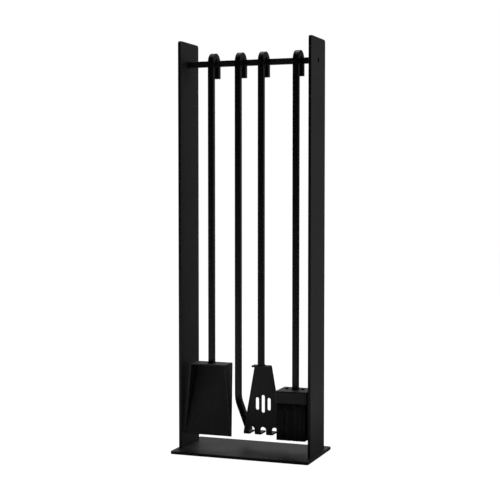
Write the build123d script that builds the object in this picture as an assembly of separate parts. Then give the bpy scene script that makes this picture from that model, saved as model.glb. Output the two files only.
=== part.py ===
from build123d import *
import os
from math import cos, radians, sin, tan

# Fireplace tool set: a stand of two flat-bar uprights on a steel base plate, with a square crossbar
# on which four hooked tools hang side by side: shovel, poker, rake and brush.
# Millimetres. +Z is up, +X runs along the crossbar, -Y faces the user.
# The origin is on the floor, below the middle of the base plate.

# --- driving dimensions ---------------------------------------------------------------------------
PAD_HEIGHT = 1.0            # rubber pads under the base plate
PAD_DIAMETER = 18.0
PAD_INSET = 16.0            # pad centre from the edges of the plate
PAD_BEVEL = 0.3

BASE_LENGTH = 251.0
BASE_DEPTH = 135.0
PLATE = 5.0                 # thickness of the base plate and of the flat-bar uprights
BASE_CORNER = 4.0
EDGE = 0.5                  # small rounding or bevel on cut edges

STAND_WIDTH = 241.4         # over the outer faces of the uprights
UPRIGHT_DEPTH = 80.0
UPRIGHT_HEIGHT = 710.0      # above the base plate
UPRIGHT_CORNER = 5.0
TAB_LENGTH = 20.0           # tabs on the foot of each upright, let into slots in the plate
TAB_SPACING = 46.0
TAB_GAP = 0.1
TAB_RECESS = 0.6            # the tab ends this far above the underside of the plate

BAR = 10.0                  # square bar of the crossbar and of every tool
BAR_CORNER = 0.8
BAR_BELOW_TOP = 38.0        # crossbar centre below the top of the uprights

SCREW_THREAD = 5.0          # countersunk screws that hold the crossbar
SCREW_HEAD = 9.6            # wide end of the countersink
SCREW_LENGTH = 17.0
SCREW_SINK = 0.2            # the heads lie this far below the faces of the uprights
SCREW_GAP = 0.1

HOOK_RADIUS = 13.2          # centreline of the hook's half circle around the crossbar
HOOK_LEG = 24.6             # straight leg behind the crossbar
HEAD_DROP = 522.2           # top of the shovel pan and rake blade below the crossbar centre
TOOL_DROP = 646.0           # lower end of the shovel pan and rake blade below the crossbar centre

SHEET = 2.0                 # steel sheet of the pan
BLADE_SHEET = 3.0           # steel sheet of the rake blade
WELD = 2.0                  # leg of the fillet weld around the foot of a rod
WELD_TOE = 0.1              # the weld ends this far outside the rod at its top

SHOVEL_X = -69.1
PAN_TOP_WIDTH = 65.4
PAN_BOTTOM_WIDTH = 89.2
PAN_DEPTH = 37.2            # front to back along the top wall
PAN_FRONT_Y = -33.0
PAN_FOLD = 1.2              # outer radius of the folds

POKER_X = -19.2
POKER_CORNER_DROP = 582.5   # where the centrelines of shank and toe meet, below the crossbar centre
POKER_ANGLE = 40.0
POKER_BEND = 30.0
POKER_TOE = 85.0            # from that corner to the tip

RAKE_X = 23.0
BLADE_FRONT_Y = -3.8
BLADE_TOP_WIDTH = 30.4
BLADE_BOTTOM_WIDTH = 73.7
SEAT_DEPTH = 16.3           # seat for the rod, bent forward at the top of the blade
TINE_DEPTH = 29.0           # tines, bent backward at the bottom, measured from the front face
BLADE_BEND = 4.5            # outer radius of both bends
TINE_WIDTH = 10.4
TINE_GAP = 10.7
GAP_HEIGHT = 14.6           # from the underside of the tines to the top of the arched gaps
WINDOW_WIDTH = 6.4          # three upright round-ended windows in the blade
WINDOW_PITCH = 10.8
WINDOW_HEIGHTS = (22.0, 31.0, 22.0)
WINDOW_DROP = 590.9         # centre of the windows below the crossbar centre

BRUSH_X = 85.6
BRUSH_DROP = 559.7          # top of the brush cap below the crossbar centre
CAP_WIDTH = 56.0
CAP_DEPTH = 50.4
CAP_HEIGHT = 20.8
HEAD_FORWARD = 3.8          # middle of the brush head in front of its rod
CAP_WALL = 1.5
CAP_CORNER = 2.6            # outer radius of the folds and corners
BLOCK_HEIGHT = 11.5
BLOCK_GAP = 0.4             # between the block and the walls of the cap
SIDE_INSET = 2.6            # bristles inside the left and right faces of the cap
FACE_INSET = 1.9            # and inside its front and back faces
BRISTLE_DROP = 644.3        # lower end of the bristles below the crossbar centre
CAP_SCREW_OFFSET = 14.3     # screws left and right of the rod
CAP_SCREW_THREAD = 4.0
CAP_SCREW_HEAD = 7.5
CAP_SCREW_HEAD_HEIGHT = 2.2
CAP_SCREW_LENGTH = 9.0
HEX_WIDTH = 3.0             # hexagon sockets in all screws
HEX_DEPTH = 1.6

# --- derived places -------------------------------------------------------------------------------
PLATE_TOP = PAD_HEIGHT + PLATE
STAND_TOP = PLATE_TOP + UPRIGHT_HEIGHT
BAR_Z = STAND_TOP - BAR_BELOW_TOP
INNER_X = STAND_WIDTH / 2 - PLATE
ROD_Y = -HOOK_RADIUS
HEAD_Y = ROD_Y - HEAD_FORWARD
CENTRE_Z = (Align.CENTER, Align.CENTER, Align.MIN)
HANGING = (Align.CENTER, Align.CENTER, Align.MAX)
ALONG_X = Plane.YZ
ALONG_Y = Plane.XZ


def write(name, *solids):
    """One named node; several solids stay separate in it."""
    shape = solids[0] if len(solids) == 1 else Compound(children=list(solids))
    export_step(shape, f"parts/{name}.step")


def hexagon(depth):
    return extrude(RegularPolygon(HEX_WIDTH / 2, 6, major_radius=False), depth)


# --- stand ----------------------------------------------------------------------------------------
def tab_places():
    return [Vector(0, side * TAB_SPACING / 2, 0) for side in (-1, 1)]


def base_plate():
    outline = RectangleRounded(BASE_LENGTH, BASE_DEPTH, BASE_CORNER)
    plate = extrude(outline, PLATE)
    rims = plate.faces().filter_by(Axis.Z).edges()
    plate = Pos(0, 0, PAD_HEIGHT) * fillet(rims, EDGE)
    through = 4 * PLATE
    slot = Box(PLATE + 2 * TAB_GAP, TAB_LENGTH + 2 * TAB_GAP, through)
    for side in (-1, 1):
        for place in tab_places():
            plate -= Pos(side * (INNER_X + PLATE / 2), place.Y, PAD_HEIGHT) * slot
    return plate


def foot_pads():
    pad = Cylinder(PAD_DIAMETER / 2, PAD_HEIGHT, align=CENTRE_Z)
    pad = chamfer(pad.faces().sort_by(Axis.Z)[0].edges(), PAD_BEVEL)
    reach_x = BASE_LENGTH / 2 - PAD_INSET
    reach_y = BASE_DEPTH / 2 - PAD_INSET
    return [Pos(x * reach_x, y * reach_y, 0) * pad for x in (-1, 1) for y in (-1, 1)]


def crossbar_hole():
    """Countersunk hole along +X, its wide end on the plane x = 0."""
    cone_depth = (SCREW_HEAD - SCREW_THREAD) / 2
    cone = Cone(SCREW_HEAD / 2, SCREW_THREAD / 2, cone_depth, align=CENTRE_Z)
    through = 2 * PLATE
    bore = Cylinder(SCREW_THREAD / 2 + SCREW_GAP, through, align=CENTRE_Z)
    return Rot(0, -90, 0) * (cone + bore)


def upright(side):
    """Flat bar on edge; side is -1 for the left one and 1 for the right one."""
    bar = Box(PLATE, UPRIGHT_DEPTH, UPRIGHT_HEIGHT, align=CENTRE_Z)
    top_corners = bar.edges().filter_by(Axis.X).group_by(Axis.Z)[-1]
    bar = fillet(top_corners, UPRIGHT_CORNER)
    faces = bar.faces().filter_by(Axis.X)
    rims = [edge for edge in faces.edges() if edge.center().Z > EDGE]
    bar = Pos(side * (INNER_X + PLATE / 2), 0, PLATE_TOP) * fillet(rims, EDGE)
    tab = Box(PLATE, TAB_LENGTH, PLATE - TAB_RECESS, align=HANGING)
    for place in tab_places():
        bar += Pos(side * (INNER_X + PLATE / 2), place.Y, PLATE_TOP) * tab
    hole = crossbar_hole() if side > 0 else Rot(0, 0, 180) * crossbar_hole()
    return bar - Pos(side * STAND_WIDTH / 2, 0, BAR_Z) * hole


def foot_welds():
    """Flat weld beads that fill the slots below the tabs."""
    plug = Box(PLATE, TAB_LENGTH, TAB_RECESS, align=CENTRE_Z)
    beads = []
    for side in (-1, 1):
        for place in tab_places():
            beads.append(Pos(side * (INNER_X + PLATE / 2), place.Y, PAD_HEIGHT) * plug)
    return beads


def bar_section():
    return RectangleRounded(BAR, BAR, BAR_CORNER)


def crossbar():
    bar = extrude(ALONG_X * bar_section(), INNER_X, both=True)
    bore = Cylinder(SCREW_THREAD / 2, 2 * SCREW_LENGTH)
    for side in (-1, 1):
        bar -= Pos(side * INNER_X, 0, 0) * Rot(0, 90, 0) * bore
    return Pos(0, 0, BAR_Z) * bar


def crossbar_screws():
    """Countersunk screws, their heads almost flush with the faces of the uprights."""
    head_radius = SCREW_HEAD / 2 - SCREW_SINK - SCREW_GAP
    head = Cone(head_radius, SCREW_THREAD / 2, head_radius - SCREW_THREAD / 2, align=CENTRE_Z)
    shank = Cylinder(SCREW_THREAD / 2, SCREW_LENGTH - SCREW_SINK, align=CENTRE_Z)
    screw = head + shank - hexagon(HEX_DEPTH)
    seat_x = STAND_WIDTH / 2 - SCREW_SINK
    right = Pos(seat_x, 0, BAR_Z) * Rot(0, -90, 0) * screw
    left = Pos(-seat_x, 0, BAR_Z) * Rot(0, 90, 0) * screw
    return [left, right]


# --- tools ----------------------------------------------------------------------------------------
def hooked_rod(x, bottom_drop, toe=None):
    """Square bar: short leg behind the crossbar, half circle over it and a long shank in front."""
    leg_end = (x, HOOK_RADIUS, BAR_Z - HOOK_LEG)
    leg = Line(leg_end, (x, HOOK_RADIUS, BAR_Z))
    arch = ThreePointArc(leg @ 1, (x, 0, BAR_Z + HOOK_RADIUS), (x, ROD_Y, BAR_Z))
    shank = Line(arch @ 1, (x, ROD_Y, BAR_Z - bottom_drop))
    path = Wire([leg, arch, shank] + (toe or []))
    start = Plane(origin=leg_end, x_dir=(1, 0, 0), z_dir=(0, 0, 1))
    rod = sweep(start * bar_section(), path=path)
    leg_face = rod.faces().sort_by_distance(Vector(leg_end))[0]
    return chamfer(leg_face.edges(), EDGE)


def rod_weld(x, top_z):
    """Fillet weld around the foot of a rod that stands on a sheet."""
    low_width = BAR + 2 * WELD
    high_width = BAR + 2 * WELD_TOE
    low = Pos(x, ROD_Y, top_z) * RectangleRounded(low_width, low_width, WELD)
    high = Pos(x, ROD_Y, top_z + WELD) * RectangleRounded(high_width, high_width, BAR_CORNER)
    ring = loft([low, high])
    return ring - Pos(x, ROD_Y, top_z) * extrude(bar_section(), 2 * WELD, both=True)


def pan_body(inset):
    """Wedge of the shovel pan; inset moves its sides, top and floor inward by the sheet."""
    top_z = BAR_Z - HEAD_DROP
    bottom_z = BAR_Z - TOOL_DROP
    height = top_z - bottom_z
    side_tilt = (PAN_BOTTOM_WIDTH - PAN_TOP_WIDTH) / 2 / height
    floor_tilt = (PAN_DEPTH - SHEET) / height
    side_step = inset * (1 + side_tilt ** 2) ** 0.5
    floor_step = inset * (1 + floor_tilt ** 2) ** 0.5
    reach = height if inset else 0
    low = bottom_z - reach
    low_half = PAN_BOTTOM_WIDTH / 2 + side_tilt * reach - side_step
    high = top_z - inset
    high_half = PAN_TOP_WIDTH / 2 + side_tilt * inset - side_step
    front = Polygon((-low_half, low), (low_half, low), (high_half, high), (-high_half, high), align=None)
    back_high = PAN_FRONT_Y + PAN_DEPTH - floor_step - floor_tilt * inset
    back_low = PAN_FRONT_Y + SHEET - floor_step - floor_tilt * reach
    open_y = PAN_FRONT_Y - (height if inset else 0)
    side = Polygon((open_y, low), (back_low, low), (back_high, high), (open_y, high), align=None)
    wide = 2 * height
    return extrude(ALONG_Y * front, wide, both=True) & extrude(ALONG_X * side, wide, both=True)


def shovel_pan():
    outer = pan_body(0)
    folds = [edge for edge in outer.edges() if edge.center().Y > PAN_FRONT_Y + SHEET]
    long_folds = [edge for edge in folds if edge.center().Z > BAR_Z - TOOL_DROP + SHEET]
    outer = fillet(long_folds, PAN_FOLD)
    return Pos(SHOVEL_X, 0, 0) * (outer - pan_body(SHEET))


def poker_toe():
    """Bend and toe that carry on from the shank of the poker, turned toward the back."""
    corner_z = BAR_Z - POKER_CORNER_DROP
    turn = radians(POKER_ANGLE)
    tangent = POKER_BEND * tan(turn / 2)
    direction = Vector(0, sin(turn), -cos(turn))
    corner = Vector(POKER_X, ROD_Y, corner_z)
    first = corner + Vector(0, 0, tangent)
    last = corner + direction * tangent
    centre = first + Vector(0, POKER_BEND, 0)
    half = turn / 2
    middle = centre + Vector(0, -cos(half), -sin(half)) * POKER_BEND
    bend = ThreePointArc(first, middle, last)
    return [bend, Line(last, corner + direction * POKER_TOE)]


def poker_rod():
    tangent = POKER_BEND * tan(radians(POKER_ANGLE) / 2)
    rod = hooked_rod(POKER_X, POKER_CORNER_DROP - tangent, poker_toe())
    tip = rod.faces().sort_by(Axis.Y)[-1]
    return chamfer(tip.edges(), EDGE)


def blade_sheet():
    """Bent sheet seen from its side: seat forward, blade down, tines backward."""
    top_z = BAR_Z - HEAD_DROP
    bottom_z = BAR_Z - TOOL_DROP
    back_y = BLADE_FRONT_Y + BLADE_SHEET
    outline = Polyline(
        (BLADE_FRONT_Y - SEAT_DEPTH, top_z), (back_y, top_z), (back_y, bottom_z + BLADE_SHEET),
        (BLADE_FRONT_Y + TINE_DEPTH, bottom_z + BLADE_SHEET), (BLADE_FRONT_Y + TINE_DEPTH, bottom_z),
        (BLADE_FRONT_Y, bottom_z), (BLADE_FRONT_Y, top_z - BLADE_SHEET),
        (BLADE_FRONT_Y - SEAT_DEPTH, top_z - BLADE_SHEET), close=True)
    sheet = extrude(ALONG_X * make_face(outline), BLADE_BOTTOM_WIDTH, both=True)
    outer = [(back_y, top_z), (BLADE_FRONT_Y, bottom_z)]
    inner = [(BLADE_FRONT_Y, top_z - BLADE_SHEET), (back_y, bottom_z + BLADE_SHEET)]
    sheet = fillet([edge_at(sheet, y, z) for y, z in outer], BLADE_BEND)
    return fillet([edge_at(sheet, y, z) for y, z in inner], BLADE_BEND - BLADE_SHEET)


def edge_at(solid, y, z):
    """The edge along X that passes nearest to (y, z)."""
    return solid.edges().filter_by(Axis.X).sort_by_distance(Vector(0, y, z))[0]


def blade_outline():
    top_z = BAR_Z - HEAD_DROP
    bottom_z = BAR_Z - TOOL_DROP
    top = BLADE_TOP_WIDTH / 2
    bottom = BLADE_BOTTOM_WIDTH / 2
    face = Polygon((-bottom, bottom_z), (bottom, bottom_z), (top, top_z), (-top, top_z), align=None)
    return extrude(ALONG_Y * face, 2 * TINE_DEPTH, both=True)


def tine_gap(offset):
    """Arched gap between two tines, open at the bottom and at the back."""
    width = TINE_GAP
    arch_z = BAR_Z - TOOL_DROP + GAP_HEIGHT - width / 2
    face = Pos(offset, arch_z) * Circle(width / 2)
    face += Pos(offset, arch_z) * Rectangle(width, GAP_HEIGHT, align=(Align.CENTER, Align.MAX))
    return extrude(ALONG_Y * face, 2 * TINE_DEPTH, both=True)


def window(offset, height):
    face = Pos(offset, BAR_Z - WINDOW_DROP) * Rot(0, 0, 90) * SlotOverall(height, WINDOW_WIDTH)
    return extrude(ALONG_Y * face, 2 * TINE_DEPTH, both=True)


def rake_blade():
    blade = blade_sheet() & blade_outline()
    for step in (-1, 0, 1):
        blade -= tine_gap(step * (TINE_WIDTH + TINE_GAP))
    for step, height in zip((-1, 0, 1), WINDOW_HEIGHTS):
        blade -= window(step * WINDOW_PITCH, height)
    return Pos(RAKE_X, 0, 0) * blade


def outer_folds(box):
    """Upright edges and top edges of a box."""
    return box.edges().filter_by(Axis.Z) + box.faces().sort_by(Axis.Z)[-1].edges()


def beside_rod(solid):
    """The same solid left and right of the brush rod."""
    return [Pos(side * CAP_SCREW_OFFSET, 0, 0) * solid for side in (-1, 1)]


def brush_cap():
    cap = Box(CAP_WIDTH, CAP_DEPTH, CAP_HEIGHT, align=HANGING)
    cap = fillet(outer_folds(cap), CAP_CORNER)
    hollow = Box(CAP_WIDTH - 2 * CAP_WALL, CAP_DEPTH - 2 * CAP_WALL, CAP_HEIGHT, align=HANGING)
    hollow = fillet(outer_folds(hollow), CAP_CORNER - CAP_WALL)
    cap -= Pos(0, 0, -CAP_WALL) * hollow
    for hole in beside_rod(Cylinder(CAP_SCREW_THREAD / 2 + SCREW_GAP, 4 * CAP_WALL)):
        cap -= hole
    return Pos(BRUSH_X, HEAD_Y, BAR_Z - BRUSH_DROP) * cap


def brush_block():
    shrink = 2 * (CAP_WALL + BLOCK_GAP)
    block = Box(CAP_WIDTH - shrink, CAP_DEPTH - shrink, BLOCK_HEIGHT, align=HANGING)
    block = fillet(outer_folds(block), CAP_CORNER - CAP_WALL)
    for hole in beside_rod(Cylinder(CAP_SCREW_THREAD / 2, 2 * (CAP_SCREW_LENGTH - CAP_WALL))):
        block -= hole
    return Pos(BRUSH_X, HEAD_Y, BAR_Z - BRUSH_DROP - CAP_WALL) * block


def brush_screws():
    head = Cylinder(CAP_SCREW_HEAD / 2, CAP_SCREW_HEAD_HEIGHT, align=CENTRE_Z)
    head = fillet(head.faces().sort_by(Axis.Z)[-1].edges(), CAP_SCREW_HEAD_HEIGHT / 2)
    head -= Pos(0, 0, CAP_SCREW_HEAD_HEIGHT - HEX_DEPTH) * hexagon(HEX_DEPTH)
    shank = Cylinder(CAP_SCREW_THREAD / 2, CAP_SCREW_LENGTH, align=HANGING)
    return beside_rod(Pos(BRUSH_X, HEAD_Y, BAR_Z - BRUSH_DROP) * (head + shank))


def brush_bristles():
    top_z = BAR_Z - BRUSH_DROP - CAP_WALL - BLOCK_HEIGHT
    bottom_z = BAR_Z - BRISTLE_DROP
    bundle = Box(CAP_WIDTH - 2 * SIDE_INSET, CAP_DEPTH - 2 * FACE_INSET, top_z - bottom_z, align=HANGING)
    bundle = fillet(bundle.edges().filter_by(Axis.Z), CAP_CORNER - CAP_WALL)
    return Pos(BRUSH_X, HEAD_Y, top_z) * bundle


os.makedirs("parts", exist_ok=True)

write("base_plate", base_plate())
write("foot_pads", *foot_pads())
write("left_upright", upright(-1))
write("right_upright", upright(1))
write("upright_foot_welds", *foot_welds())
write("crossbar", crossbar())
write("crossbar_screws", *crossbar_screws())

head_top = BAR_Z - HEAD_DROP
write("shovel_rod", hooked_rod(SHOVEL_X, HEAD_DROP))
write("shovel_weld", rod_weld(SHOVEL_X, head_top))
write("shovel_pan", shovel_pan())

write("poker_rod", poker_rod())

write("rake_rod", hooked_rod(RAKE_X, HEAD_DROP))
write("rake_weld", rod_weld(RAKE_X, head_top))
write("rake_blade", rake_blade())

write("brush_rod", hooked_rod(BRUSH_X, BRUSH_DROP))
write("brush_weld", rod_weld(BRUSH_X, BAR_Z - BRUSH_DROP))
write("brush_cap", brush_cap())
write("brush_block", brush_block())
write("brush_screws", *brush_screws())
write("brush_bristles", brush_bristles())
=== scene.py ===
from math import pi, radians, sqrt

import bpy
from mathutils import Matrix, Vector


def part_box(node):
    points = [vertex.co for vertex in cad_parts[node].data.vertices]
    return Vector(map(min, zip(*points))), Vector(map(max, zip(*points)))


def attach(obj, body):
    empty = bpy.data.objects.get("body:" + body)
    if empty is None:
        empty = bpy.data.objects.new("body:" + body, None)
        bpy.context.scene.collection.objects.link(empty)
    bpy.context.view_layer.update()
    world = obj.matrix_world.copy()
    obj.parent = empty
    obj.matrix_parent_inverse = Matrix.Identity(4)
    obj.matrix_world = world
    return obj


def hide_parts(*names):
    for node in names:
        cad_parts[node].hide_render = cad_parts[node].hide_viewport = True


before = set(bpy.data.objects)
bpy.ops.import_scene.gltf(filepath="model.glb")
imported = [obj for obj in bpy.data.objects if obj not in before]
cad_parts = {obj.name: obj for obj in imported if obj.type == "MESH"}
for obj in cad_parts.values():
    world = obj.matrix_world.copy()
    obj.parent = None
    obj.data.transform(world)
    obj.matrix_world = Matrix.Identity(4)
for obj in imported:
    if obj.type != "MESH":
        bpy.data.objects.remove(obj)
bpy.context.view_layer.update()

# ---------------------------------------------------------------------------------------------------
# Base plate: 5 mm laser-cut mild steel with rounded corners, powder-coated matt black.
# The rolled sheet shows faintly through the coat as long streaks from left to right.
# ---------------------------------------------------------------------------------------------------
MM = 0.001
COAT_BLACK = (0.0175, 0.0175, 0.0185)
COAT_GREY = (0.0250, 0.0250, 0.0262)


def put(tree, kind, inputs=None, **settings):
    """Adds a node. inputs gives each socket a plain value or the output that feeds it."""
    node = tree.nodes.new(kind)
    for name, value in settings.items():
        setattr(node, name, value)
    for socket, value in (inputs or {}).items():
        if isinstance(value, bpy.types.NodeSocket):
            tree.links.new(value, node.inputs[socket])
        else:
            node.inputs[socket].default_value = value
    return node


def new_finish(name, specular):
    """An empty material with one shader; returns the tree, the shader and the object coordinates."""
    finish = bpy.data.materials.new(name)
    finish.use_nodes = True
    tree = finish.node_tree
    shader = tree.nodes["Principled BSDF"]
    shader.inputs["Specular IOR Level"].default_value = specular
    place = put(tree, "ShaderNodeTexCoord").outputs["Object"]
    return finish, tree, shader, place


def cloudy(tree, place, per_metre, detail=2.0):
    """Noise of that many blotches in a metre, from 0 to 1."""
    noise = put(tree, "ShaderNodeTexNoise",
                {"Vector": place, "Scale": per_metre, "Detail": detail, "Roughness": 0.55})
    return noise.outputs["Fac"]


def spread(tree, value, low, high, from_low=0.3, from_high=0.7):
    """Stretches a noise value to run from low to high."""
    return put(tree, "ShaderNodeMapRange",
               {"Value": value, "From Min": from_low, "From Max": from_high,
                "To Min": low, "To Max": high}).outputs["Result"]


def typed(sockets, kind, name=None):
    """The socket of one kind on a node that has a set of sockets for each kind."""
    return [socket for socket in sockets if socket.type == kind and name in (None, socket.name)][0]


def blend_colours(tree, share, first, second):
    mix = put(tree, "ShaderNodeMix", data_type="RGBA")
    tree.links.new(share, mix.inputs["Factor"])
    typed(mix.inputs, "RGBA", "A").default_value = (*first, 1.0)
    typed(mix.inputs, "RGBA", "B").default_value = (*second, 1.0)
    return typed(mix.outputs, "RGBA")


def paint_pattern(tree, shader, share, dark, light):
    """Lets a pattern from 0 to 1 turn the colour from dark to light."""
    tree.links.new(blend_colours(tree, share, dark, light), shader.inputs["Base Color"])


def raise_grain(tree, shader, height, strength, depth):
    """Lets a pattern stand out of the surface by up to depth."""
    bump = put(tree, "ShaderNodeBump", {"Height": height, "Strength": strength, "Distance": depth})
    tree.links.new(bump.outputs["Normal"], shader.inputs["Normal"])


PATCHES, PEEL, GRIT = 14.0, 780.0, 2600.0
PEEL_DEPTH = 0.06 * MM
GRIT_SHARE = 0.4


def powder_coat(name, dark, light, roughness, specular, streaks=None):
    """Matt powder coat: orange peel about 1 mm across, fine grit in it and soft uneven patches.
    streaks gives how fast they change along X, Y and Z; they run along the slow ones."""
    finish, tree, shader, place = new_finish(name, specular)
    patches = cloudy(tree, place, PATCHES, 3.0)
    grit = cloudy(tree, place, GRIT, 1.0)
    peel = cloudy(tree, place, PEEL, 2.0)
    tone = put(tree, "ShaderNodeMath", {0: patches, 1: grit}, operation="ADD").outputs[0]
    if streaks:
        drawn = put(tree, "ShaderNodeMapping", {"Vector": place, "Scale": streaks}).outputs["Vector"]
        lines = cloudy(tree, drawn, 1.0, 3.0)
        tone = put(tree, "ShaderNodeMath", {0: tone, 1: lines}, operation="ADD").outputs[0]
        tone = put(tree, "ShaderNodeMath", {0: tone, 1: 2 / 3}, operation="MULTIPLY").outputs[0]
    share = spread(tree, tone, 0.0, 1.0, 0.7, 1.3)
    paint_pattern(tree, shader, share, dark, light)
    gloss = spread(tree, patches, roughness - 0.05, roughness + 0.06)
    tree.links.new(gloss, shader.inputs["Roughness"])
    skin = put(tree, "ShaderNodeMath", {0: grit, 1: GRIT_SHARE, 2: peel},
               operation="MULTIPLY_ADD").outputs[0]
    raise_grain(tree, shader, skin, 0.5, PEEL_DEPTH)
    return finish


def paint(node_name, finish):
    """Gives a carried-over part its finish."""
    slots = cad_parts[node_name].material_slots
    for slot in slots:
        slot.material = finish
    if not slots:
        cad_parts[node_name].data.materials.append(finish)


base_coat = powder_coat("base_coat", COAT_BLACK, COAT_GREY, 0.5, 0.4, streaks=(6.0, 260.0, 6.0))
paint("base_plate", base_coat)

# ---------------------------------------------------------------------------------------------------
# Uprights: two 80 x 5 mm flat bars on edge, their tabs let into the base plate and welded from below.
# Both are coated together with the base plate.
# ---------------------------------------------------------------------------------------------------
stand_coat = powder_coat("stand_coat", COAT_BLACK, COAT_GREY, 0.52, 0.4)
paint("left_upright", stand_coat)
paint("right_upright", stand_coat)

weld_coat = powder_coat("weld_coat", (0.012, 0.012, 0.0125), (0.022, 0.022, 0.023), 0.42, 0.45)
paint("upright_foot_welds", weld_coat)

# ---------------------------------------------------------------------------------------------------
# Foot pads: four thin discs of black rubber, bevelled at the rim. They are glued under the corners of
# the base plate and carry the stand.
# ---------------------------------------------------------------------------------------------------
pad_rubber, tree, shader, place = new_finish("pad_rubber", 0.3)
dust = spread(tree, cloudy(tree, place, 900.0, 3.0), 0.0, 1.0)
paint_pattern(tree, shader, dust, (0.012, 0.012, 0.012), (0.032, 0.031, 0.030))
tree.links.new(spread(tree, dust, 0.7, 0.85, 0.0, 1.0), shader.inputs["Roughness"])
raise_grain(tree, shader, dust, 0.4, 0.1 * MM)
paint("foot_pads", pad_rubber)

# ---------------------------------------------------------------------------------------------------
# Crossbar: a 10 mm square steel bar between the uprights, tapped at both ends and powder-coated. The
# hooks of the tools hang over it.
# ---------------------------------------------------------------------------------------------------
# Same black powder coat as the stand, made several times lighter to stand in for the light on the bar's front
# face: painted light.
crossbar_coat_painted_light = powder_coat("crossbar_coat_painted_light", (0.066, 0.066, 0.069), (0.086, 0.086, 0.090), 0.48, 0.4)
paint("crossbar", crossbar_coat_painted_light)

# ---------------------------------------------------------------------------------------------------
# Crossbar screws: two countersunk steel screws with hexagon sockets, blackened, one through each
# upright into the end of the crossbar. Their heads lie just below the faces of the uprights.
# ---------------------------------------------------------------------------------------------------
black_screw, tree, shader, place = new_finish("black_screw", 0.01)
oxide = spread(tree, cloudy(tree, place, 1400.0, 3.0), 0.0, 1.0)
paint_pattern(tree, shader, oxide, (0.0030, 0.0030, 0.0032), (0.0080, 0.0078, 0.0080))
tree.links.new(spread(tree, oxide, 0.32, 0.5, 0.0, 1.0), shader.inputs["Roughness"])
raise_grain(tree, shader, oxide, 0.3, 0.03 * MM)


def new_shape(name, **sizes):
    """An empty node tree with one named input for each size; returns it and its input node."""
    tree = bpy.data.node_groups.new(name, "GeometryNodeTree")
    kinds = {float: "NodeSocketFloat", int: "NodeSocketInt", tuple: "NodeSocketVector"}
    for label, value in sizes.items():
        socket = tree.interface.new_socket(
            label.replace("_", " "), in_out="INPUT", socket_type=kinds[type(value)])
        socket.default_value = value
    tree.interface.new_socket("Shape", in_out="OUTPUT", socket_type="NodeSocketGeometry")
    return tree, tree.nodes.new("NodeGroupInput").outputs


def finish_shape(tree, shape, finish):
    """Ends a tree: instances made real, smooth faces and its material."""
    real = put(tree, "GeometryNodeRealizeInstances", {"Geometry": shape}).outputs[0]
    smooth = put(tree, "GeometryNodeSetShadeSmooth", {"Geometry": real}).outputs[0]
    covered = put(tree, "GeometryNodeSetMaterial", {"Geometry": smooth, "Material": finish})
    out = tree.nodes.new("NodeGroupOutput")
    tree.links.new(covered.outputs[0], out.inputs[0])


def make(name, tree, sizes, bevel=0.0, bevel_angle=50.0):
    """Grows a piece from its tree with these sizes and returns it as a plain mesh."""
    piece = bpy.data.objects.new(name, bpy.data.meshes.new(name))
    bpy.context.scene.collection.objects.link(piece)
    grown = piece.modifiers.new("shape", "NODES")
    grown.node_group = tree
    for item in tree.interface.items_tree:
        if item.in_out == "INPUT" and item.name in sizes:
            grown[item.identifier] = sizes[item.name]
    if bevel:
        edge = piece.modifiers.new("edges", "BEVEL")
        edge.width, edge.segments = bevel, 2
        edge.limit_method, edge.angle_limit = "ANGLE", radians(bevel_angle)
        piece.modifiers.new("normals", "WEIGHTED_NORMAL").keep_sharp = True
    bpy.context.view_layer.update()
    whole = piece.evaluated_get(bpy.context.evaluated_depsgraph_get())
    mesh = bpy.data.meshes.new_from_object(whole)
    piece.modifiers.clear()
    piece.data = mesh
    mesh.name = name
    return piece


def math(tree, operation, first, second=0.0, third=0.0):
    return put(tree, "ShaderNodeMath", {0: first, 1: second, 2: third}, operation=operation).outputs[0]


def vector(tree, x=0.0, y=0.0, z=0.0):
    return put(tree, "ShaderNodeCombineXYZ", {"X": x, "Y": y, "Z": z}).outputs[0]


def moved(tree, shape, offset=None, turn=None):
    inputs = {"Geometry": shape}
    if offset is not None:
        inputs["Translation"] = offset
    if turn is not None:
        inputs["Rotation"] = turn
    return put(tree, "GeometryNodeTransform", inputs).outputs[0]


def round_bar(tree, radius_bottom, radius_top, depth, sides=40):
    """A cone or cylinder that stands on the origin along +Z."""
    cone = put(tree, "GeometryNodeMeshCone",
               {"Vertices": sides, "Side Segments": 1, "Radius Top": radius_top,
                "Radius Bottom": radius_bottom, "Depth": depth})
    return cone.outputs["Mesh"]


def cut(tree, operation, body, tool):
    """Takes tool off body, or keeps only what the two closed shapes share."""
    boolean = put(tree, "GeometryNodeMeshBoolean", operation=operation, solver="EXACT")
    first = "Mesh 1" if operation == "DIFFERENCE" else "Mesh 2"
    tree.links.new(body, boolean.inputs[first])
    tree.links.new(tool, boolean.inputs["Mesh 2"])
    return boolean.outputs["Mesh"]


def join(tree, *shapes):
    """Several shapes as one."""
    joined = put(tree, "GeometryNodeJoinGeometry")
    for shape in shapes:
        tree.links.new(shape, joined.inputs[0])
    return joined.outputs[0]


def socketed(tree, head, hex_width, depth, top):
    """Cuts a hexagon socket from the plane z = top down into a head."""
    corner = math(tree, "DIVIDE", hex_width, sqrt(3.0))
    tall = math(tree, "MULTIPLY", depth, 2.0)
    key = round_bar(tree, corner, corner, tall, 6)
    lowest = math(tree, "SUBTRACT", top, depth)
    return cut(tree, "DIFFERENCE", head, moved(tree, key, vector(tree, z=lowest)))


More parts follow.
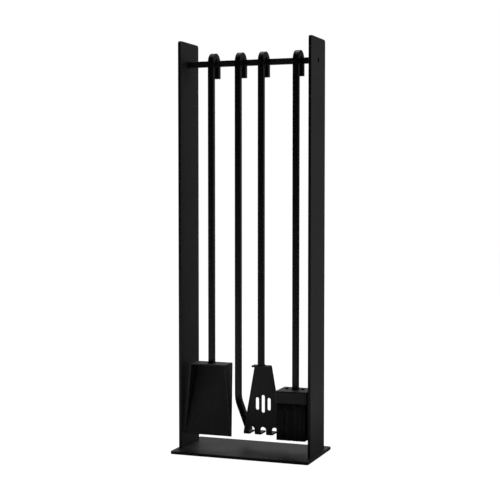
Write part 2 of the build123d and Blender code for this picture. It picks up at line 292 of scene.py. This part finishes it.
tree, size = new_shape("countersunk_screws", Head=9.0 * MM, Thread=5.0 * MM, Length=16.8 * MM,
                       Hexagon=3.0 * MM, Socket=2.0 * MM, Spacing=241.0 * MM, Height=678.0 * MM)
head_radius = math(tree, "DIVIDE", size["Head"], 2.0)
thread_radius = math(tree, "DIVIDE", size["Thread"], 2.0)
head_depth = math(tree, "SUBTRACT", head_radius, thread_radius)
cone = round_bar(tree, thread_radius, head_radius, head_depth)
shank = round_bar(tree, thread_radius, thread_radius, math(tree, "SUBTRACT", size["Length"], head_depth))
cone_up = moved(tree, cone, vector(tree, z=math(tree, "SUBTRACT", size["Length"], head_depth)))
head = socketed(tree, cone_up, size["Hexagon"], size["Socket"], size["Length"])
screw = join(tree, shank, head)
outward = math(tree, "SUBTRACT", math(tree, "DIVIDE", size["Spacing"], 2.0), size["Length"])
right = moved(tree, screw, vector(tree, x=outward, z=size["Height"]), (0.0, pi / 2, 0.0))
inward = math(tree, "MULTIPLY", outward, -1.0)
left = moved(tree, screw, vector(tree, x=inward, z=size["Height"]), (0.0, -pi / 2, 0.0))
finish_shape(tree, join(tree, left, right), black_screw)

low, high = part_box("crossbar_screws")
crossbar_height = (low.z + high.z) / 2
end_screws = make("end_screws", tree, {"Spacing": high.x - low.x, "Height": crossbar_height}, 0.12 * MM)
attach(end_screws, "stand")
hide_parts("crossbar_screws")

# ---------------------------------------------------------------------------------------------------
# Tool handles: each is one 10 mm square bar. The top is bent round the crossbar in a half circle
# with a short leg behind it; the poker's lower end is bent back as its toe.
# ---------------------------------------------------------------------------------------------------
BAR = 10.0 * MM
tool_coat = powder_coat("tool_coat", COAT_BLACK, COAT_GREY, 0.48, 0.4)

tree, size = new_shape("bent_bar", Bar=BAR, Corner=0.8 * MM, Hook_Radius=13.2 * MM, Leg=24.6 * MM,
                       Shank=522.2 * MM, Toe=0.0, Toe_Angle=0.0, Bend_Radius=30.0 * MM,
                       Across=0.0, Height=678.0 * MM)
hook = size["Hook Radius"]
front = math(tree, "MULTIPLY", hook, -1.0)
foot = math(tree, "MULTIPLY", size["Shank"], -1.0)
toe_back = math(tree, "MULTIPLY_ADD", math(tree, "SINE", size["Toe Angle"]), size["Toe"], front)
toe_down = math(tree, "MULTIPLY", math(tree, "COSINE", size["Toe Angle"]), size["Toe"])
corners = [
    vector(tree, y=hook, z=math(tree, "MULTIPLY", size["Leg"], -1.0)),
    vector(tree, y=hook, z=hook),
    vector(tree, y=front, z=hook),
    vector(tree, y=front, z=foot),
    vector(tree, y=toe_back, z=math(tree, "SUBTRACT", foot, toe_down)),
]
number = put(tree, "GeometryNodeInputIndex").outputs[0]
pick = put(tree, "GeometryNodeIndexSwitch", data_type="VECTOR")
while len(pick.index_switch_items) < len(corners):
    pick.index_switch_items.new()
tree.links.new(number, pick.inputs["Index"])
for place_number, corner in enumerate(corners):
    tree.links.new(corner, pick.inputs[place_number + 1])
has_toe = math(tree, "GREATER_THAN", size["Toe"], 0.0)
count = math(tree, "ADD", has_toe, 4.0)
line = put(tree, "GeometryNodeMeshLine", {"Count": count})
route = put(tree, "GeometryNodeSetPosition", {"Geometry": line.outputs[0], "Position": pick.outputs[0]})
path = put(tree, "GeometryNodeMeshToCurve", {"Mesh": route.outputs[0]}).outputs[0]
lower = math(tree, "GREATER_THAN", number, 2.5)
extra = math(tree, "SUBTRACT", size["Bend Radius"], hook)
bend_radius = math(tree, "MULTIPLY_ADD", lower, extra, hook)
bent = put(tree, "GeometryNodeFilletCurve",
           {"Curve": path, "Count": 16, "Radius": bend_radius, "Limit Radius": True}, mode="POLY")
square = put(tree, "GeometryNodeCurvePrimitiveQuadrilateral",
             {"Width": size["Bar"], "Height": size["Bar"]})
section = put(tree, "GeometryNodeFilletCurve",
              {"Curve": square.outputs[0], "Count": 4, "Radius": size["Corner"], "Limit Radius": True},
              mode="POLY")
bar = put(tree, "GeometryNodeCurveToMesh",
          {"Curve": bent.outputs[0], "Profile Curve": section.outputs[0], "Fill Caps": True})
joined = put(tree, "GeometryNodeMergeByDistance", {"Geometry": bar.outputs[0], "Distance": 0.02 * MM})
hung = moved(tree, joined.outputs[0], vector(tree, x=size["Across"], z=size["Height"]))
finish_shape(tree, hung, tool_coat)
bent_bar = tree


def handle(tool, shank, **bend):
    """The bent square bar of one tool, hung where its part hangs."""
    low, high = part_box(f"{tool}_rod")
    sizes = {"Across": (low.x + high.x) / 2, "Height": crossbar_height, "Shank": shank}
    sizes.update({label.replace("_", " "): value for label, value in bend.items()})
    piece = make(f"{tool}_handle", bent_bar, sizes, 0.5 * MM, 60.0)
    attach(piece, tool)
    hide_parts(f"{tool}_rod")


for tool in ("shovel", "rake", "brush"):
    handle(tool, crossbar_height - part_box(f"{tool}_rod")[0].z)
handle("poker", 582.5 * MM, Toe=85.0 * MM, Toe_Angle=radians(40.0))

# ---------------------------------------------------------------------------------------------------
# Foot welds: a rippled fillet weld runs round the foot of each handle where it stands on its sheet,
# and is coated over.
# ---------------------------------------------------------------------------------------------------
ROOT_SHARE, RIPPLE_SHARE, LIFT_SHARE = 0.55, 0.72, 0.22
RIPPLE_SHAPE = (0.6, 0.97, 0.97)

tree, size = new_shape("rippled_weld", Bar=BAR, Leg=2.0 * MM, Pitch=1.15 * MM, Place=(0.0, 0.0, 0.0), Seed=4)
half_leg = math(tree, "DIVIDE", size["Leg"], 2.0)
side = math(tree, "MULTIPLY_ADD", half_leg, 0.9, size["Bar"])
square = put(tree, "GeometryNodeCurvePrimitiveQuadrilateral", {"Width": side, "Height": side})
ring = put(tree, "GeometryNodeFilletCurve",
           {"Curve": square.outputs[0], "Count": 5, "Radius": size["Leg"], "Limit Radius": True}, mode="POLY")
root = put(tree, "GeometryNodeCurvePrimitiveCircle",
           {"Resolution": 8, "Radius": math(tree, "MULTIPLY", size["Leg"], ROOT_SHARE)})
core = put(tree, "GeometryNodeCurveToMesh", {"Curve": ring.outputs[0], "Profile Curve": root.outputs[0]})
spots = put(tree, "GeometryNodeResampleCurve",
            {"Curve": ring.outputs[0], "Length": size["Pitch"]}, mode="LENGTH")
ripple_radius = math(tree, "MULTIPLY", size["Leg"], RIPPLE_SHARE)
ripple = put(tree, "GeometryNodeMeshUVSphere", {"Segments": 12, "Rings": 7, "Radius": ripple_radius})
along = put(tree, "GeometryNodeInputTangent").outputs[0]
facing = put(tree, "FunctionNodeAlignRotationToVector", {"Vector": along}, axis="X")
swell = put(tree, "FunctionNodeRandomValue", data_type="FLOAT")
typed(swell.inputs, "VALUE", "Min").default_value = 0.86
typed(swell.inputs, "VALUE", "Max").default_value = 1.0
tree.links.new(size["Seed"], swell.inputs["Seed"])
flat = put(tree, "ShaderNodeVectorMath",
           {0: RIPPLE_SHAPE, "Scale": typed(swell.outputs, "VALUE")}, operation="SCALE")
beads = put(tree, "GeometryNodeInstanceOnPoints",
            {"Points": spots.outputs[0], "Instance": ripple.outputs[0],
             "Rotation": facing.outputs[0], "Scale": flat.outputs[0]})
weld = join(tree, core.outputs[0], beads.outputs[0])
lifted = math(tree, "MULTIPLY", size["Leg"], LIFT_SHARE)
raised = moved(tree, weld, vector(tree, z=lifted))
finish_shape(tree, moved(tree, raised, size["Place"]), weld_coat)

for tool in ("shovel", "rake", "brush"):
    low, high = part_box(f"{tool}_weld")
    place = ((low.x + high.x) / 2, (low.y + high.y) / 2, low.z)
    bead = make(f"{tool}_foot_weld", tree, {"Place": place, "Seed": 3 + len(tool)})
    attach(bead, tool)
    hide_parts(f"{tool}_weld")

# ---------------------------------------------------------------------------------------------------
# Shovel pan: 2 mm steel sheet folded into an open wedge, its side walls tapering to the mouth.
# The handle is welded to the short top wall.
# ---------------------------------------------------------------------------------------------------
DOWN_THE_SHEET = (220.0, 220.0, 5.0)
# Same black powder coat as the rest, made lighter to stand in for the light falling on the pan's sloping
# floor and walls: painted light.
pan_coat = powder_coat("pan_coat", (0.050, 0.050, 0.0525), (0.072, 0.072, 0.0755), 0.52, 0.3,
                       streaks=DOWN_THE_SHEET)
paint("shovel_pan", pan_coat)

# ---------------------------------------------------------------------------------------------------
# Rake blade: 3 mm sheet, its top bent forward as a seat for the handle, four tines bent back at the
# bottom, and three round-ended windows cut through the middle.
# ---------------------------------------------------------------------------------------------------
# Same black powder coat as the rest, made lighter to stand in for the light on the blade's lower front:
# painted light.
blade_coat = powder_coat("blade_coat", (0.028, 0.028, 0.0295), (0.042, 0.042, 0.044), 0.5, 0.38,
                         streaks=DOWN_THE_SHEET)
paint("rake_blade", blade_coat)

# ---------------------------------------------------------------------------------------------------
# Brush head: a folded 1.5 mm steel cap, powder-coated, over a block of black-stained hardwood that is
# drilled for the bristles. The handle is welded to the cap.
# ---------------------------------------------------------------------------------------------------
cap_coat = powder_coat("cap_coat", (0.020, 0.020, 0.0212), (0.031, 0.031, 0.0327), 0.5, 0.4,
                       streaks=(6.0, 6.0, 260.0))
paint("brush_cap", cap_coat)

block_wood, tree, shader, place = new_finish("block_wood", 0.25)
grain_place = put(tree, "ShaderNodeMapping",
                  {"Vector": place, "Scale": (25.0, 700.0, 700.0)}).outputs["Vector"]
grain = spread(tree, cloudy(tree, grain_place, 1.0, 5.0), 0.0, 1.0)
paint_pattern(tree, shader, grain, (0.020, 0.014, 0.010), (0.060, 0.042, 0.030))
tree.links.new(spread(tree, grain, 0.55, 0.75, 0.0, 1.0), shader.inputs["Roughness"])
raise_grain(tree, shader, grain, 0.5, 0.08 * MM)
paint("brush_block", block_wood)

# ---------------------------------------------------------------------------------------------------
# Brush screws: two button-head screws with hexagon sockets, left and right of the handle. They hold
# the cap on the block.
# ---------------------------------------------------------------------------------------------------
BUTTON = 7.5 * MM
tree, size = new_shape("button_screws", Head=BUTTON, Height=2.2 * MM, Thread=4.0 * MM, Length=9.0 * MM,
                       Hexagon=3.0 * MM, Socket=1.6 * MM, Spacing=28.6 * MM, Place=(0.0, 0.0, 0.0))
head_radius = math(tree, "DIVIDE", size["Head"], 2.0)
thread_radius = math(tree, "DIVIDE", size["Thread"], 2.0)
square_sum = math(tree, "ADD", math(tree, "POWER", head_radius, 2.0),
                  math(tree, "POWER", size["Height"], 2.0))
dome_radius = math(tree, "DIVIDE", square_sum, math(tree, "MULTIPLY", size["Height"], 2.0))
ball = put(tree, "GeometryNodeMeshUVSphere", {"Segments": 40, "Rings": 30, "Radius": dome_radius})
sunk = moved(tree, ball.outputs["Mesh"], vector(tree, z=math(tree, "SUBTRACT", size["Height"], dome_radius)))
disc = round_bar(tree, head_radius, head_radius, math(tree, "MULTIPLY", size["Height"], 1.5))
dome = cut(tree, "INTERSECT", disc, sunk)
head = socketed(tree, dome, size["Hexagon"], size["Socket"], size["Height"])
shank = round_bar(tree, thread_radius, thread_radius, size["Length"], 24)
shank_down = moved(tree, shank, vector(tree, z=math(tree, "MULTIPLY", size["Length"], -1.0)))
screw = join(tree, shank_down, head)
pair = put(tree, "GeometryNodeMeshLine",
           {"Count": 2, "Start Location": vector(tree, x=math(tree, "MULTIPLY", size["Spacing"], -0.5)),
            "Offset": vector(tree, x=size["Spacing"])})
screws = put(tree, "GeometryNodeInstanceOnPoints", {"Points": pair.outputs[0], "Instance": screw})
finish_shape(tree, moved(tree, screws.outputs[0], size["Place"]), black_screw)

low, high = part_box("brush_screws")
cap_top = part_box("brush_cap")[1].z
place = ((low.x + high.x) / 2, (low.y + high.y) / 2, cap_top)
cap_screws = make("cap_screws", tree, {"Place": place, "Spacing": high.x - low.x - BUTTON}, 0.1 * MM)
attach(cap_screws, "brush")
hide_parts("brush_screws")

# ---------------------------------------------------------------------------------------------------
# Bristles: stiff black fibre in tufts, set in rows in the block and cut straight across. The tufts
# spread just below the block until they fill the head.
# ---------------------------------------------------------------------------------------------------
bristle_fibre, tree, shader, place = new_finish("bristle_fibre", 0.35)
strand = put(tree, "ShaderNodeAttribute", attribute_name="strand_tone").outputs["Fac"]
ribbed = put(tree, "ShaderNodeMapping", {"Vector": place, "Scale": (900.0, 900.0, 60.0)}).outputs["Vector"]
ribs = spread(tree, cloudy(tree, ribbed, 1.0, 2.0), 0.0, 0.35)
tone = put(tree, "ShaderNodeMath", {0: strand, 1: 0.65, 2: ribs}, operation="MULTIPLY_ADD").outputs[0]
paint_pattern(tree, shader, tone, (0.014, 0.014, 0.0145), (0.062, 0.060, 0.060))
tree.links.new(spread(tree, ribs, 0.5, 0.66, 0.0, 0.35), shader.inputs["Roughness"])

tree, size = new_shape("tufts", Width=50.8 * MM, Depth=46.6 * MM, Length=71.6 * MM, Columns=8, Rows=8,
                       Strands=88, Thickness=0.75 * MM, Root=2.1 * MM, Spread=1.5, Open_By=0.1,
                       Uneven=0.5 * MM, Place=(0.0, 0.0, 0.0), Seed=7)


def ranged(tree, low, high, seed_step, kind="FLOAT"):
    """A random value for each strand, drawn from the tree's own seed."""
    dice = put(tree, "FunctionNodeRandomValue", data_type=kind)
    wanted = {"FLOAT": "VALUE", "FLOAT_VECTOR": "VECTOR"}[kind]
    typed(dice.inputs, wanted, "Min").default_value = low
    typed(dice.inputs, wanted, "Max").default_value = high
    tree.links.new(math(tree, "ADD", size["Seed"], seed_step), dice.inputs["Seed"])
    return typed(dice.outputs, wanted)


def keep(tree, shape, label, value, kind="FLOAT"):
    """Writes a value on each point of a shape under a label."""
    stored = put(tree, "GeometryNodeStoreNamedAttribute", {"Geometry": shape, "Name": label},
                 data_type=kind, domain="POINT")
    target = [s for s in stored.inputs if s.name == "Value" and s.enabled][0]
    tree.links.new(value, target)
    return stored.outputs[0]


def kept(tree, label, kind="FLOAT"):
    """Reads back what keep wrote."""
    read = put(tree, "GeometryNodeInputNamedAttribute", {"Name": label}, data_type=kind)
    return [s for s in read.outputs if s.name == "Attribute" and s.enabled][0]


def scaled(tree, value, factor):
    return put(tree, "ShaderNodeVectorMath", {0: value, "Scale": factor}, operation="SCALE").outputs[0]


def added(tree, first, second):
    return put(tree, "ShaderNodeVectorMath", {0: first, 1: second}, operation="ADD").outputs[0]


across = math(tree, "DIVIDE", size["Width"], size["Columns"])
deep = math(tree, "DIVIDE", size["Depth"], size["Rows"])
grid = put(tree, "GeometryNodeMeshGrid",
           {"Size X": math(tree, "SUBTRACT", size["Width"], across),
            "Size Y": math(tree, "SUBTRACT", size["Depth"], deep),
            "Vertices X": size["Columns"], "Vertices Y": size["Rows"]})
tuft_points = put(tree, "GeometryNodeMeshToPoints", {"Mesh": grid.outputs[0]}).outputs[0]
tuft_points = keep(tree, tuft_points, "tuft_tone", ranged(tree, 0.0, 0.5, 1))
strands = put(tree, "GeometryNodeDuplicateElements", {"Geometry": tuft_points, "Amount": size["Strands"]},
              domain="POINT").outputs[0]
turn = ranged(tree, 0.0, 2 * pi, 2)
radius = math(tree, "SQRT", ranged(tree, 0.0, 1.0, 3))
root = vector(tree, math(tree, "MULTIPLY", math(tree, "COSINE", turn), radius),
              math(tree, "MULTIPLY", math(tree, "SINE", turn), radius))
strands = keep(tree, strands, "root_place", scaled(tree, root, size["Root"]), "FLOAT_VECTOR")
free = put(tree, "ShaderNodeVectorMath",
           {0: ranged(tree, (-0.5, -0.5, 0.0), (0.5, 0.5, 0.0), 5, "FLOAT_VECTOR"),
            1: scaled(tree, vector(tree, across, deep), size["Spread"])}, operation="MULTIPLY").outputs[0]
tuft_place = put(tree, "GeometryNodeInputPosition").outputs[0]
half_width = math(tree, "DIVIDE", math(tree, "SUBTRACT", size["Width"], size["Thickness"]), 2.0)
half_depth = math(tree, "DIVIDE", math(tree, "SUBTRACT", size["Depth"], size["Thickness"]), 2.0)
corner = vector(tree, half_width, half_depth)
wanted = added(tree, tuft_place, free)
limited = put(tree, "ShaderNodeVectorMath", {0: wanted, 1: corner}, operation="MINIMUM").outputs[0]
limited = put(tree, "ShaderNodeVectorMath", {0: limited, 1: scaled(tree, corner, -1.0)},
              operation="MAXIMUM").outputs[0]
tip = put(tree, "ShaderNodeVectorMath", {0: limited, 1: tuft_place}, operation="SUBTRACT").outputs[0]
strands = keep(tree, strands, "tip_place", tip, "FLOAT_VECTOR")
strands = keep(tree, strands, "short_by", math(tree, "MULTIPLY", ranged(tree, 0.0, 1.0, 6), size["Uneven"]))
strands = keep(tree, strands, "strand_tone",
               math(tree, "ADD", kept(tree, "tuft_tone"), ranged(tree, 0.0, 0.5, 8)))
strand_radius = math(tree, "DIVIDE", size["Thickness"], 2.0)
fibre = put(tree, "GeometryNodeMeshCone",
            {"Vertices": 3, "Side Segments": 3, "Radius Top": strand_radius,
             "Radius Bottom": strand_radius, "Depth": 1.0})
laid = put(tree, "GeometryNodeInstanceOnPoints",
           {"Points": strands, "Instance": fibre.outputs[0],
            "Rotation": vector(tree, z=ranged(tree, 0.0, 2 * pi, 9))})
real = put(tree, "GeometryNodeRealizeInstances", {"Geometry": laid.outputs[0]}).outputs[0]
spot = put(tree, "ShaderNodeSeparateXYZ", {"Vector": put(tree, "GeometryNodeInputPosition").outputs[0]})
down = math(tree, "SUBTRACT", 1.0, spot.outputs["Z"])
opened = put(tree, "ShaderNodeMapRange",
             {"Value": down, "From Min": 0.0, "From Max": size["Open By"], "To Min": 0.0, "To Max": 1.0},
             interpolation_type="SMOOTHSTEP").outputs["Result"]
lean = put(tree, "ShaderNodeMix", data_type="VECTOR")
tree.links.new(opened, lean.inputs["Factor"])
for end, label in (("A", "root_place"), ("B", "tip_place")):
    tree.links.new(kept(tree, label, "FLOAT_VECTOR"), typed(lean.inputs, "VECTOR", end))
sideways = typed(lean.outputs, "VECTOR")
reach = math(tree, "SUBTRACT", size["Length"], kept(tree, "short_by"))
hang = math(tree, "MULTIPLY", down, math(tree, "MULTIPLY", reach, -1.0))
straight = vector(tree, spot.outputs["X"], spot.outputs["Y"], hang)
bent = put(tree, "GeometryNodeSetPosition", {"Geometry": real, "Position": added(tree, straight, sideways)})
finish_shape(tree, moved(tree, bent.outputs[0], size["Place"]), bristle_fibre)

low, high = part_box("brush_bristles")
place = ((low.x + high.x) / 2, (low.y + high.y) / 2, high.z)
bristles = make("bristles", tree,
                {"Width": high.x - low.x, "Depth": high.y - low.y, "Length": high.z - low.z, "Place": place})
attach(bristles, "brush")
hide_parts("brush_bristles")

# ---------------------------------------------------------------------------------------------------
# Studio: a pale floor, a white surround and large soft lights on both sides, above and behind. Three
# low lights stand in for what the floor throws back on to the lower ends of the tools.
# ---------------------------------------------------------------------------------------------------
floor_mesh = bpy.data.meshes.new("floor")
FLOOR_REACH = 8
floor_corners = [(x * FLOOR_REACH, y * FLOOR_REACH, 0) for x, y in ((-1, -1), (1, -1), (1, 1), (-1, 1))]
floor_mesh.from_pydata(floor_corners, [], [(0, 1, 2, 3)])
floor = bpy.data.objects.new("floor", floor_mesh)
bpy.context.scene.collection.objects.link(floor)
pale, tree, shader, place = new_finish("pale_floor", 0.2)
mottle = spread(tree, cloudy(tree, place, 3.0, 2.0), 0.0, 1.0)
paint_pattern(tree, shader, mottle, (0.10, 0.10, 0.10), (0.12, 0.12, 0.12))
shader.inputs["Roughness"].default_value = 0.9
WHITE = (1.0, 1.0, 1.0, 1.0)
shader.inputs["Emission Color"].default_value = WHITE
shader.inputs["Emission Strength"].default_value = 1.0
floor_mesh.materials.append(pale)
floor.visible_diffuse = False
floor.visible_glossy = False

bpy.ops.mesh.primitive_uv_sphere_add(segments=48, ring_count=24, radius=9.0)
surround = bpy.context.object
surround.name = "surround"
glow = bpy.data.materials.new("white_surround")
glow.use_nodes = True
glow.node_tree.nodes.clear()
light = put(glow.node_tree, "ShaderNodeEmission", {"Color": WHITE, "Strength": 1.0})
put(glow.node_tree, "ShaderNodeOutputMaterial", {"Surface": light.outputs[0]})
surround.data.materials.append(glow)
surround.visible_diffuse = False
surround.visible_glossy = False
surround.visible_shadow = False

world = bpy.data.worlds.new("studio")
bpy.context.scene.world = world
world.use_nodes = True
background = world.node_tree.nodes["Background"]
background.inputs["Color"].default_value = WHITE
background.inputs["Strength"].default_value = 0.005


def soft_light(name, place, aim, width, height, power):
    """A rectangular area light at place, turned to aim and not seen itself."""
    lamp = bpy.data.lights.new(name, "AREA")
    lamp.shape, lamp.size, lamp.size_y, lamp.energy = "RECTANGLE", width, height, power
    holder = bpy.data.objects.new(name, lamp)
    bpy.context.scene.collection.objects.link(holder)
    holder.location = place
    direction = Vector([a - b for a, b in zip(aim, place)])
    holder.rotation_euler = direction.to_track_quat("-Z", "Y").to_euler()
    holder.visible_camera = False


MIDDLE = (0.0, 0.0, 0.35)
soft_light("right", (3.0, 0.25, 0.9), MIDDLE, 1.6, 2.0, 14.0)
soft_light("left", (-3.0, 0.3, 0.9), MIDDLE, 1.6, 2.0, 24.0)
soft_light("top", (0.0, 1.1, 2.8), MIDDLE, 1.8, 1.2, 28.0)
soft_light("back_right", (1.3, 2.8, 0.9), MIDDLE, 2.4, 3.0, 3.4)
soft_light("side_right", (2.6, 1.6, 0.9), MIDDLE, 1.6, 2.4, 4.6)
soft_light("side_left", (-2.6, 2.0, 0.45), MIDDLE, 1.6, 2.4, 22.0)
soft_light("back_low", (-1.0, 3.0, 0.5), MIDDLE, 1.6, 2.0, 1.6)
soft_light("back_high", (-0.6, 2.4, 1.8), MIDDLE, 1.6, 1.6, 6.0)
soft_light("floor_front", (-0.4, -0.45, 0.01), (-0.4, -0.45, 1.0), 0.9, 0.5, 0.9)
soft_light("low_front", (-0.3, -0.5, 0.04), (-0.05, 0.0, 0.04), 0.8, 0.06, 0.16)
soft_light("floor_right", (0.5, 0.0, 0.01), (0.5, 0.0, 1.0), 0.5, 0.9, 0.6)

# ---------------------------------------------------------------------------------------------------
# Camera: a long lens about 2.1 m away, a little above the middle of the stand and about 20 degrees to
# the right of its front.
# ---------------------------------------------------------------------------------------------------
STANDPOINT = Vector((0.7232, -1.9539, 0.4573))
VIEW = Vector((-0.34778, 0.93628, -0.04923))
lens = bpy.data.cameras.new("camera")
lens.lens, lens.sensor_width = 86.43, 36.0
lens.clip_start, lens.clip_end = 0.05, 60.0
camera = bpy.data.objects.new("camera", lens)
bpy.context.scene.collection.objects.link(camera)
camera.location = STANDPOINT
camera.rotation_euler = VIEW.to_track_quat("-Z", "Y").to_euler()
bpy.context.scene.camera = camera
bpy.context.scene.view_settings.view_transform = "Standard"
